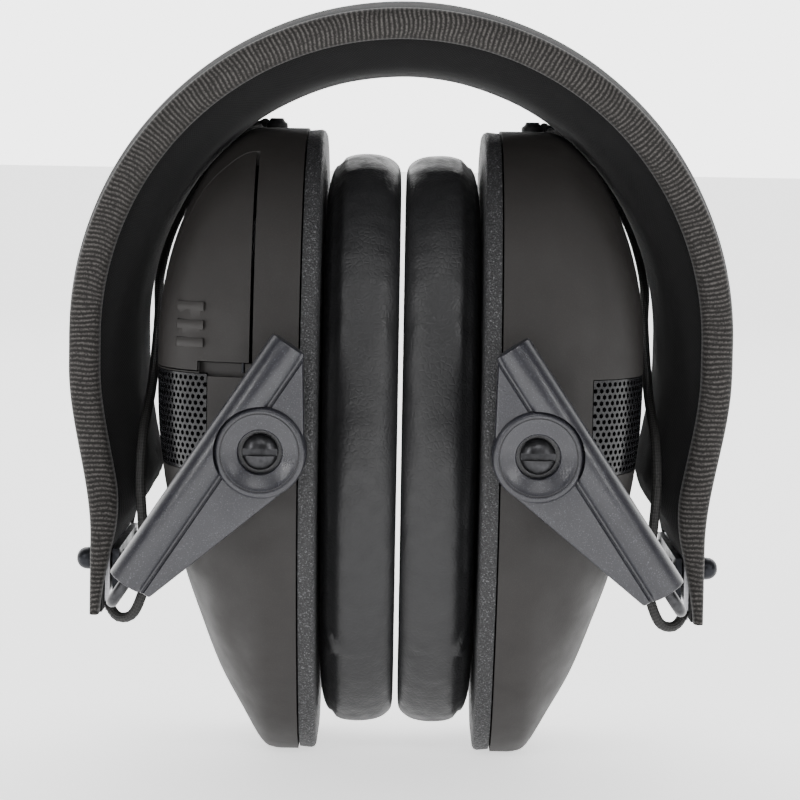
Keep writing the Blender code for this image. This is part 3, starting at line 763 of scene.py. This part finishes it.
def cover_section(run):
    z = band_height(run)
    bulge = COVER_BULGE * mix(0.12, 1.0, smoothstep((z - 42.0) / 20.0))
    edge = FABRIC_HALF_WIDTH
    top = []
    for y in spread(33, edge, -edge):
        ripple = 0.16 * noise.noise(Vector((run / 22.0, y / 9.0, 3.0)))
        lip = 0.9 * (abs(y) / edge) ** 14
        top.append((y, COVER_OUTER_DEPTH + lip - (bulge + ripple) * (1 - (y / edge) ** 2), 0.0))
    return top + [(y, COVER_INNER_DEPTH, 0.0) for y in spread(9, -edge, edge)]


def pad_section(run):
    z = band_height(run)
    thick = mix(PAD_THICKNESS, PAD_END_THICKNESS, smoothstep((51.0 - z) / 14.0))
    edge = FABRIC_HALF_WIDTH
    crumple = smoothstep((60.0 - z) / 14.0)
    under = []
    for y in spread(45, edge, -edge):
        crown = 1.0 - 0.78 * (abs(y) / edge) ** 6
        soft = 0.22 * noise.noise(Vector((run / 16.0, y / 10.0, 8.0)))
        fold = noise.noise(Vector((run / 2.3, y / 7.0, 1.5)))
        fold = 0.75 * crumple * crown * abs(fold) * min(1.0, thick / 3.0)
        under.append((y, PAD_DEPTH + thick * crown + soft * crown - fold, 0.0))
    return [(y, PAD_DEPTH, 0.0) for y in spread(9, -edge, edge)] + under


def tape_section(run, end):
    """A ribbed tape folded over the band's edge. Its ribs run across it, and waver a little."""
    z = band_height(run)
    thick = mix(TAPE_END_THICKNESS, TAPE_THICKNESS, smoothstep((z - 24.0) / 26.0))
    width = TAPE_OUTER_Y - TAPE_INNER_Y
    points = []
    for i in range(21):
        part = i / 20
        waver = 0.55 * noise.noise(Vector((run / 7.0, part * 2.6, end * 5.0)))
        waver += 0.10 * math.sin(part * 9.0)
        rib = 0.5 + 0.5 * math.cos(2 * math.pi * (run / RIB_PITCH + waver))
        inward = min(part, 1 - part)
        bulge = 0.16 * (rib - 1.0) * min(1.0, 4 * inward + 0.25)
        loose = 0.12 * noise.noise(Vector((run / 12.0, part * 2.0, 9.0 + end)))
        y = TAPE_INNER_Y + width * math.sin(math.pi * part) ** 0.42
        y += (bulge + loose) * min(1.0, 6 * inward)
        depth = thick * (1 - signed_power(math.cos(math.pi * part), 0.8)) / 2
        points.append((end * min(y, TAPE_OUTER_Y + 0.1), depth, rib))
    return points


def make_headband():
    runs = spread(220, 0.0, BAND_LENGTH)
    cover = band_sweep("band_cover", runs, cover_section, "fabric")
    place(cover, "headband", "fabric", "headband_cover")
    pad_start = PAD_END_Z - LEG_END_Z
    pad_runs = spread(300, pad_start, BAND_LENGTH - pad_start)
    pad = band_sweep("band_pad", pad_runs, pad_section, "fabric")
    place(pad, "headband", "fabric", "headband_pad")
    steps = round(BAND_LENGTH / RIB_PITCH) * 4
    for end_name, end in ENDS.items():
        runs = spread(steps, 0.0, BAND_LENGTH)
        tape = band_sweep(f"band_tape_{end_name}", runs, partial(tape_section, end=end), "tape")
        place(tape, "headband", "tape", f"headband_binding_{end_name}")
    for side_name, side in SIDES.items():
        for end_name, end in ENDS.items():
            profile = [
                (0, 48.2), (1.5, 48.2), (1.7, 48.4), (1.7, 48.9), (0.9, 48.9), (0.9, 54.3), (1.9, 54.3),
                (2.0, 54.5), (2.0, 55.1), (1.9, 55.8), (1.6, 56.4), (1.1, 56.85), (0.6, 57.05), (0, 57.1),
            ]
            spot = (0.0, end * RIVET_Y, RIVET_Z)
            rivet = lathe(f"band_rivet_{side_name}_{end_name}", profile, spot, (side, 0, 0), "clip", steps=40)
            place(rivet, "headband", "clip", f"hinge_rivet_{side_name}_{end_name}")


# -------- arms and sliders


def arm_point(side, along, offset):
    """(X, Z) along the tube from the hinge axis, and offset to its lower, inner side."""
    run_x, run_z = -math.sin(TUBE_TILT), math.cos(TUBE_TILT)
    x = HINGE_X + run_x * along - run_z * offset
    z = HINGE_Z + run_z * along + run_x * offset
    return side * x, z


def at_arm(side, along, y, offset=0.0):
    x, z = arm_point(side, along, offset)
    return Vector((x, y, z))


def make_wire(side_name, side):
    bend = WIRE_BEND
    half = [at_arm(side, along, ARM_Y) for along in spread(14, TUBE_START + WIRE_IN_TUBE, bend)]
    for i in range(1, 13):
        turn = math.pi / 2 * i / 12
        half.append(at_arm(side, bend * (1 - math.sin(turn)), ARM_Y - bend * (1 - math.cos(turn))))
    half += [at_arm(side, 0.0, y) for y in spread(12, ARM_Y - bend - 2.0, 1.5)]
    front_half = [Vector((p.x, -p.y, p.z)) for p in half]
    points = [p * MM for p in front_half + list(reversed(half))]
    wire = tube(f"arm_wire_{side_name}", points, WIRE_RADIUS, "wire", sides=20)
    place(wire, f"{side_name}_arm", "wire", f"wire_yoke_{side_name}")


def boss_profile():
    """The pivot boss from its bore outwards: recess, dished ring, fine groove and rounded rim."""
    return [
        (SCREW_HOLE_RADIUS, 0.0), (SCREW_HOLE_RADIUS, 3.2), (3.7, 3.2), (3.7, 4.75), (3.85, 5.0),
        (4.3, 5.15), (5.0, 5.42), (5.7, 5.72),
        (6.25, 5.92), (6.42, 5.94), (6.46, 5.72), (6.62, 5.72), (6.66, 5.97), (6.85, 6.0), (7.1, 6.0),
        (7.3, 5.9), (7.55, 5.6), (7.7, 5.1), (7.75, 4.3), (7.75, 0.25), (7.5, 0.0),
    ]


def make_slider(side_name, side, end_name, end):
    """A tube that slides on the wire, and a boss for the cup, with a web on each side of the boss."""
    name = f"{side_name}_{end_name}"
    y = end * ARM_Y
    radius = TUBE_RADIUS
    length = TUBE_END - TUBE_START
    profile = [
        (0, 0.0), (radius - 0.35, 0.0), (radius - 0.1, 0.1), (radius, 0.35), (radius, length - 0.35),
        (radius - 0.1, length - 0.1), (radius - 0.35, length), (0, length),
    ]
    start = at_arm(side, TUBE_START, y)
    axis = (at_arm(side, TUBE_END, y) - start).normalized()
    block = lathe(f"slider_{name}", profile, start, axis, "nylon", steps=56, angle=25.0)
    boss_side = [(BOSS_ALONG, 1.0), (BOSS_ALONG, 8.0)]
    web_start, web_end = TUBE_START + 0.25, TUBE_END - 0.25
    lower = [(web_start, 1.0), (web_start, 4.7), (BOSS_ALONG - 3.6, 13.0)] + boss_side[::-1]
    upper = boss_side + [(BOSS_ALONG + 6.4, 10.6), (web_end, 2.9), (web_end, 1.0)]
    for outline in (lower, upper):
        web = prism("web", [arm_point(side, a, o) for a, o in outline], end * WEB_Y[0], end * WEB_Y[1])
        soften(web, 0.35)
        weld(block, web)
    for span in ((TUBE_START - 1.0, BOSS_ALONG - 2.0), (BOSS_ALONG + 2.0, TUBE_END + 1.0)):
        seam_ends = [at_arm(side, along, end * 49.6, 3.1) for along in span]
        seam = rod("seam", *seam_ends, SEAM_RADIUS, steps=12)
        cut(block, seam)
    boss_x, boss_z = arm_point(side, BOSS_ALONG, BOSS_OFFSET)
    outside = (boss_x, end * 56.0, boss_z)
    clearing = rod("clearing", (boss_x, end * 45.5, boss_z), outside, BOSS_CLEARING_RADIUS, steps=72)
    cut(block, clearing)
    inner = (boss_x, end * BOSS_INNER_Y, boss_z)
    pocket = rod("pocket", (boss_x, end * 44.0, boss_z), outside, 6.0, steps=72)
    cut(block, pocket)
    boss = lathe("boss", boss_profile(), inner, (0, end, 0), "nylon", steps=72, angle=25.0)
    weld(block, boss)
    bore_ends = [at_arm(side, along, y) for along in (TUBE_START - 2.0, TUBE_START + 47.0)]
    bore = rod("bore", *bore_ends, WIRE_BORE_RADIUS, steps=24)
    cut(block, bore)
    shade(block.data, 28)
    place(block, f"{side_name}_slider", "nylon", f"slider_block_{name}")
    make_screw(name, side_name, side, end)


def make_screw(name, side_name, side, end):
    boss_x, boss_z = arm_point(side, BOSS_ALONG, BOSS_OFFSET)
    profile = [
        (0, 41.4), (1.85, 41.4), (1.85, 47.8), (2.95, 47.8), (3.0, 47.9), (3.0, 48.6), (2.85, 48.95),
        (2.4, 49.4), (1.6, 49.75), (0.8, 49.93), (0, 50.0),
    ]
    screw = lathe(f"screw_{name}", profile, (boss_x, 0.0, boss_z), (0, end, 0), "wire", steps=48, angle=25.0)
    low, high = sorted((end * 48.75, end * 52.0))
    half = SCREW_SLOT_HALF
    slot = box("slot", (boss_x - 5, low, boss_z - half), (boss_x + 5, high, boss_z + half))
    cut(screw, slot)
    shade(screw.data, 28)
    place(screw, f"{side_name}_cup", "wire", f"pivot_screw_{name}")


# -------- cups


def cup_ring(x, low, high, half, inset=0.0, count=CUP_SEGMENTS):
    """A superellipse in the plane at x, narrower at the bottom and flat where the cup stands."""
    power = 2 / CUP_SQUARENESS
    middle = (low + high) / 2
    tall = (high - low) / 2 - inset
    ring = []
    for turn in turns(count):
        z = middle + tall * signed_power(math.sin(turn), power)
        narrow = 1 - CUP_TAPER * smoothstep((56.0 - z) / 60.0)
        y = (half - inset) * signed_power(math.cos(turn), power) * narrow
        ring.append((x, y, max(z, inset)))
    return ring


def curve_through(stations, steps):
    """Stations between the given ones, on a smooth curve through them."""
    padded = [[2 * a - b for a, b in zip(stations[0], stations[1])]] + list(stations)
    padded.append([2 * a - b for a, b in zip(stations[-1], stations[-2])])
    fine = []
    for before, start, end, after in zip(padded, padded[1:], padded[2:], padded[3:]):
        for i in range(steps):
            t = i / steps
            values = []
            for p, q, r, s in zip(before, start, end, after):
                bend = 2 * p - 5 * q + 4 * r - s
                twist = 3 * q - p - 3 * r + s
                values.append(q + 0.5 * t * ((r - p) + t * (bend + t * twist)))
            fine.append(values)
    return fine + [list(stations[-1])]


def mirrored(points, side):
    return [(side * x, y, z) for x, y, z in points]


def make_shell(side_name, side):
    rings = []
    for x, low, high, half in curve_through(CUP_STATIONS, 4):
        rings.append(mirrored(cup_ring(x, low, high, half), side))
    x, low, high, half = CUP_STATIONS[-1]
    for step, inset in ((0.28, 0.9), (0.42, 2.4), (0.50, 5.0)):
        rings.append(mirrored(cup_ring(x + step, low, high, half, inset), side))
    shell = loft(f"shell_{side_name}", rings, "shell", closed_ends=(False, True), angle=40.0)
    modify(shell, "SOLIDIFY", thickness=CUP_WALL * MM, offset=-1.0, use_even_offset=False)
    return shell


def add_stubs(shell, side):
    boss_x, boss_z = arm_point(side, BOSS_ALONG, BOSS_OFFSET)
    for end in ENDS.values():
        profile = [(0, 0), (5.4, 0), (5.1, 1.6), (5.0, 3.2), (5.0, 4.2), (4.8, 4.4), (0, 4.4)]
        stub_foot = (boss_x, end * STUB_INNER_Y, boss_z)
        stub = lathe("stub", profile, stub_foot, (0, end, 0), "shell", steps=48)
        weld(shell, stub)
        hole_ends = [(boss_x, end * y, boss_z) for y in (STUB_HOLE_Y, 46.0)]
        hole = rod("hole", *hole_ends, SCREW_HOLE_RADIUS, steps=32)
        cut(shell, hole)


def piece_of(source, name, keep, material):
    """A copy of the shell cut down to a region."""
    copy = add_object(name, source.data.copy())
    combine(copy, keep, "INTERSECT")
    copy.data.materials.clear()
    copy.data.materials.append(MATERIALS[material])
    return copy


def hex_holes(side):
    """Hexagonal cutters in staggered rows, all pointing the way the window faces."""
    ahead = Vector((side * 0.62, -0.78, 0.0)).normalized()
    across = Vector((side * 0.78, 0.62, 0.0)).normalized()
    middle = Vector((side * GRILLE_MIDDLE[0], GRILLE_MIDDLE[1], GRILLE_MIDDLE[2]))
    shape = bmesh.new()
    for row in range(-7, 8):
        shift = 0.5 if row % 2 else 0.0
        for column in range(-9, 6):
            spot = middle + across * (column + shift) * HOLE_PITCH + Vector((0, 0, row * HOLE_ROW_HEIGHT))
            add_rings(shape, [hexagon(spot + ahead * reach, across) for reach in (-9.0, 9.0)])
    return finish_mesh("holes", shape)


def hexagon(middle, across):
    corners = []
    for k in range(6):
        turn = math.pi / 6 + math.pi * k / 3
        rise = Vector((0, 0, HOLE_RADIUS * math.sin(turn)))
        corners.append(middle + across * HOLE_RADIUS * math.cos(turn) + rise)
    return corners


def grille_window(side, grow):
    """The low and high corner of the microphone's window, larger by grow on every side."""
    near, far = sorted((side * (GRILLE_X - grow), side * 60.0))
    return (near, -45.0, GRILLE_Z[0] - grow), (far, GRILLE_Y + grow, GRILLE_Z[1] + grow)


def make_grille(shell, side_name, side):
    """The microphone's window: a panel of the same wall, full of real holes."""
    panel = piece_of(shell, f"grille_{side_name}", box("fill", *grille_window(side, -0.05)), "mesh")
    cut(shell, box("window", *grille_window(side, 0.1)))
    cut(panel, hex_holes(side))
    shade(panel.data, 35)
    place(panel, f"{side_name}_cup", "mesh", f"mic_grille_{side_name}")


def door_region(gap, hinge_room=0.0):
    """The door's outline: one large leaf, and a short drop on its outer side. A gap shrinks it."""
    near = DOOR_X - gap + hinge_room
    main = box("leaf", (-60.0, -60.0, DOOR_Z + gap), (near, DOOR_Y - gap, 125.0))
    drop = box("drop", (-60.0, -60.0, DOOR_DROP_Z + gap), (DOOR_DROP_X - gap, DOOR_Y - gap, 73.0))
    return weld(main, drop)


def thumb_rib(z):
    """A low bar across the door, standing on its curved wall."""
    rings = []
    for depth, tall in ((-1.2, 0.9), (0.25, 0.75), (0.55, 0.3)):
        low = [(x, left_wall_y(x, z) - depth, z - tall) for x in THUMB_RIB_X]
        high = [(x, y, z + tall) for x, y, low_z in reversed(low)]
        rings.append(low + high)
    return loft("bar", rings, "shell")


def make_door(shell):
    door = piece_of(shell, "door_leaf", door_region(DOOR_GAP), "shell")
    cut(shell, door_region(-DOOR_GAP, DOOR_SWING_ROOM))
    pocket = [(-24.9, -45.0), (-24.9, -39.2), (-34.2, -35.9), (-34.2, -45.0)]
    cut(shell, prism("pocket", pocket, 69.6, 71.9, axis="Z"))
    for z in THUMB_RIB_Z:
        weld(door, thumb_rib(z))
    shade(door.data, 40)
    place(door, "battery_door", "shell", "battery_door")
    pin = rod("hinge_pin", *[(*DOOR_PIN, z) for z in DOOR_PIN_Z], 0.3, "clip", steps=24)
    place(pin, "left_cup", "steel", "door_hinge_pin")


def left_wall_y(x, z):
    """The Y of the left cup's front wall at X and Z, read from the stations."""
    found = -30.0
    for station_x, low, high, half in curve_through(CUP_STATIONS, 4):
        if station_x > abs(x):
            break
        middle, tall = (low + high) / 2, (high - low) / 2
        share = abs((z - middle) / tall)
        if share < 1:
            found = -half * (1 - share ** CUP_SQUARENESS) ** (1 / CUP_SQUARENESS)
    return found


def make_trim(side_name, side):
    """The cup's rounded lip that the cushion stands in."""
    section = [
        (17.0, 0.4, 0), (14.9, 0.2, 0), (14.35, 0.45, 0), (14.05, 1.0, 0), (14.0, 1.8, 0), (14.0, 3.4, 0),
        (14.0, 0.0, 1), (17.0, 0.0, 1),
    ]
    rings = []
    for x, inset, inside in section:
        if inside:
            ring = cup_ring(x, *TRIM_OPENING)
            rings.append([(side * a, b, c + 0.001) for a, b, c in ring])
        else:
            rings.append(mirrored(cup_ring(x, -1.2, 112.0, 41.0, inset), side))
    trim = loft(f"trim_{side_name}", rings, "trim", looped=True, angle=40.0)
    place(trim, f"{side_name}_cup", "trim", f"trim_ring_{side_name}")


CUSHION_TURNS = 28
CUSHION_STEPS = 120


def cushion_ring(turn, near, far, edge):
    """One loop of the cushion's skin: turn goes round its section, from the outer to the inner face."""
    power = 2 / 4.6
    x = mix(near, far, 0.5 + 0.5 * signed_power(math.cos(turn), power))
    share = 0.5 + 0.5 * signed_power(math.sin(turn), power)
    low, high, half = CUSHION_OUTLINE
    outer = cup_ring(x, low + edge, high - edge, half - edge, 0.0, CUSHION_STEPS)
    low, high, half = CUSHION_OPENING
    inner = cup_ring(x, low - edge, high + edge, half + edge, 0.0, CUSHION_STEPS)
    return [(x, mix(q[1], p[1], share), mix(q[2], p[2], share)) for p, q in zip(outer, inner)]


def make_cushion(side_name, side):
    """A soft ring: cloth over foam, blown up a little so that its faces swell and its seams pull in."""
    near, edge = ((1.3, 0.9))
    rings = []
    for turn in turns(CUSHION_TURNS):
        rings.append(mirrored(cushion_ring(turn, near, CUSHION_BACK_X, edge), side))
    cushion = loft(f"cushion_skin_{side_name}", rings, "leatherette", looped=True, angle=180.0)
    puff(cushion, side)
    seam_cushion(cushion, side)
    cushion.data.shade_smooth()
    place(cushion, f"{side_name}_cup", "leatherette", f"cushion_{side_name}")


def puff(obj, side):
    """Remeshes the skin, fills it by a cloth simulation that moves no point over 1.1 mm, and smooths it."""
    modify(obj, "REMESH", mode="VOXEL", voxel_size=2.0 * MM)
    rest = [v.co.copy() for v in obj.data.vertices]
    held = obj.vertex_groups.new(name="held")
    for i, spot in enumerate(rest):
        if abs(spot.x) > 12.4 * MM:
            held.add([i], 1.0, "REPLACE")
    step = obj.modifiers.new("cloth", "CLOTH")
    step.settings.vertex_group_mass = "held"
    step.settings.use_pressure = True
    step.settings.uniform_pressure_force = 4.0
    step.settings.quality = 5
    step.settings.mass = 0.15
    step.settings.tension_stiffness = 15.0
    step.settings.compression_stiffness = 15.0
    step.settings.bending_stiffness = 0.4
    step.settings.effector_weights.gravity = 0.0
    step.point_cache.frame_start = 1
    step.point_cache.frame_end = 20
    for number in range(1, 21):
        bpy.context.scene.frame_set(number)
    apply_modifiers(obj)
    bpy.context.scene.frame_set(1)
    most = 1.1 * MM
    for vertex, spot in zip(obj.data.vertices, rest):
        moved = vertex.co - spot
        if moved.length > most:
            vertex.co = spot + moved.normalized() * most
        if abs(vertex.co.x) < CUSHION_FACE_X * MM:
            vertex.co.x = side * CUSHION_FACE_X * MM
        vertex.co.z = max(vertex.co.z, 4.1 * MM)
    modify(obj, "SMOOTH", factor=0.5, iterations=18)
    modify(obj, "SUBSURF", levels=1, render_levels=1)
    fit_cushion(obj, side)


def fit_cushion(obj, side):
    """Stretches the filled skin back to its full size, and presses its face nearly flat."""
    spots = [v.co / MM for v in obj.data.vertices]
    nearest = min(abs(p.x) for p in spots)
    low, high = min(p.z for p in spots), max(p.z for p in spots)
    half = max(abs(p.y) for p in spots)
    widen = (CUSHION_BACK_X + 0.7) / (CUSHION_BACK_X - nearest)
    for vertex, spot in zip(obj.data.vertices, spots):
        x = CUSHION_BACK_X - (CUSHION_BACK_X - abs(spot.x)) * widen
        if x < CUSHION_FACE_X + 0.6:
            x = CUSHION_FACE_X + 0.6 * math.exp((x - CUSHION_FACE_X) / 0.6 - 1)
        z = mix(4.1, 107.4, (spot.z - low) / (high - low))
        vertex.co = Vector((side * x, spot.y * 36.9 / half, z)) * MM


def seam_cushion(obj, side):
    """Pulls the skin in along its outer and inner welt, puckers it there, and wrinkles it lightly."""
    for vertex in obj.data.vertices:
        spot = vertex.co / MM
        x = abs(spot.x)
        away = Vector((0.0, spot.y, spot.z - 56.0))
        inner = 1.0 if abs(away.y) < 26.0 and abs(away.z) < 36.0 else -1.0
        angle = math.atan2(away.z, away.y)
        pull = math.exp(-((x - 11.4) / 0.55) ** 2) * 0.62
        pucker = 0.10 * noise.noise(Vector((angle * 34.0, x * 0.35, 2.0 + inner)))
        pucker *= math.exp(-((x - 10.4) / 3.2) ** 2)
        wrinkle = 0.26 * noise.noise(spot / 13.0) * smoothstep((13.0 - x) / 2.0)
        shift = away.normalized() * (inner * pull - inner * (pucker + wrinkle))
        vertex.co = Vector((spot.x, spot.y + shift.y, spot.z + shift.z)) * MM
        dent = 0.05 + 0.05 * noise.noise(Vector((spot.y / 17.0, spot.z / 17.0, 4.0)))
        vertex.co.x = side * max(CUSHION_FACE_X, x + dent * smoothstep((4.5 - x) / 4.0)) * MM


def make_gland(side_name, side):
    profile = [
        (0, 111.7), (1.95, 111.7), (2.05, 112.3), (2.0, 112.75), (1.85, 112.95), (1.6, 113.1), (1.5, 113.2),
        (1.35, 113.45), (1.25, 113.68), (1.1, 113.78), (0.95, 113.75), (0.9, 113.3), (0, 113.3),
    ]
    foot = (side * GLAND[0], GLAND[1], 0.0)
    gland = lathe(f"gland_{side_name}", profile, foot, (0, 0, 1), "knob", steps=48)
    place(gland, f"{side_name}_cup", "knob", f"cable_gland_{side_name}")


def make_foam(side_name, side):
    """The absorber behind the cushion's opening, a slab with soft edges and an uneven face."""
    rings = []
    for x, inset in ((17.9, 9.0), (17.7, 6.2), (18.1, 4.5), (19.0, 4.05), (20.6, 4.05), (20.95, 4.6)):
        ring = cup_ring(x, *FOAM_OUTLINE, inset)
        rings.append([(side * a, b, c + 0.001) for a, b, c in ring])
    foam = loft(f"foam_{side_name}", rings, "foam")
    place(foam, f"{side_name}_cup", "foam", f"acoustic_foam_{side_name}")


def make_knob(shell):
    """The toothed thumbwheel in its slot in the rear wall."""
    cut(shell, box("slot", (24.8, 17.7, 22.4), (29.2, 45.0, 41.6)))
    x, y, z = KNOB
    half_section = ((1.8, 0.55, 0.0), (1.35, 0.1, 0.5), (1.1, 0.0, 0.5))
    section = [(-across, inset, tooth) for across, inset, tooth in half_section]
    rings = []
    for across, inset, tooth in section + list(reversed(half_section)):
        ring = []
        for turn in turns(320):
            groove = tooth * smoothstep((0.5 - math.cos(turn * KNOB_TEETH)) / 0.8)
            reach = KNOB_RADIUS - inset - groove
            ring.append((x + across, y + reach * math.cos(turn), z + reach * math.sin(turn)))
        rings.append(ring)
    wheel = loft("knob_wheel", rings, "knob", angle=30.0)
    place(wheel, "volume_knob", "knob", "volume_knob")


def make_jack(shell):
    mouth = rod("mouth", (JACK_X, 30.0, JACK_Z), (JACK_X, 45.0, JACK_Z), 3.65)
    cut(shell, mouth)
    profile = [
        (1.75, 2.0), (1.75, 10.9), (1.95, 11.15), (2.3, 11.2), (2.6, 10.9), (2.9, 10.9), (3.1, 11.2),
        (3.4, 11.15), (3.6, 10.9), (3.6, 0.0), (1.75, 0.0),
    ]
    jack = lathe("jack_socket", profile, (JACK_X, 26.0, JACK_Z), (0, 1, 0), "knob", steps=48)
    place(jack, "right_cup", "knob", "audio_jack")


def make_cups():
    for side_name, side in SIDES.items():
        shell = make_shell(side_name, side)
        add_stubs(shell, side)
        make_grille(shell, side_name, side)
        if side < 0:
            make_door(shell)
        else:
            make_knob(shell)
            make_jack(shell)
        shade(shell.data, 40)
        place(shell, f"{side_name}_cup", "shell", f"cup_shell_{side_name}")
        make_trim(side_name, side)
        make_cushion(side_name, side)
        make_foam(side_name, side)
        make_gland(side_name, side)


# -------- the rest of the CAD, and the scene


def dress_cad():
    """Gives each solid that is still seen the finish of its own slot in the record."""
    slots = {part["node"]: part["material_slot"] for part in frame["record"]["subparts"]}
    for name, node in frame["nodes"].items():
        node.data.materials.clear()
        node.data.materials.append(MATERIALS[slots[name]])


make_plastics()
make_metals()
make_soft_goods()
make_camera()
make_studio()
make_link_cables()
make_headband()
for side_name, side in SIDES.items():
    make_wire(side_name, side)
    for end_name, end in ENDS.items():
        make_slider(side_name, side, end_name, end)
make_cups()
dress_cad()
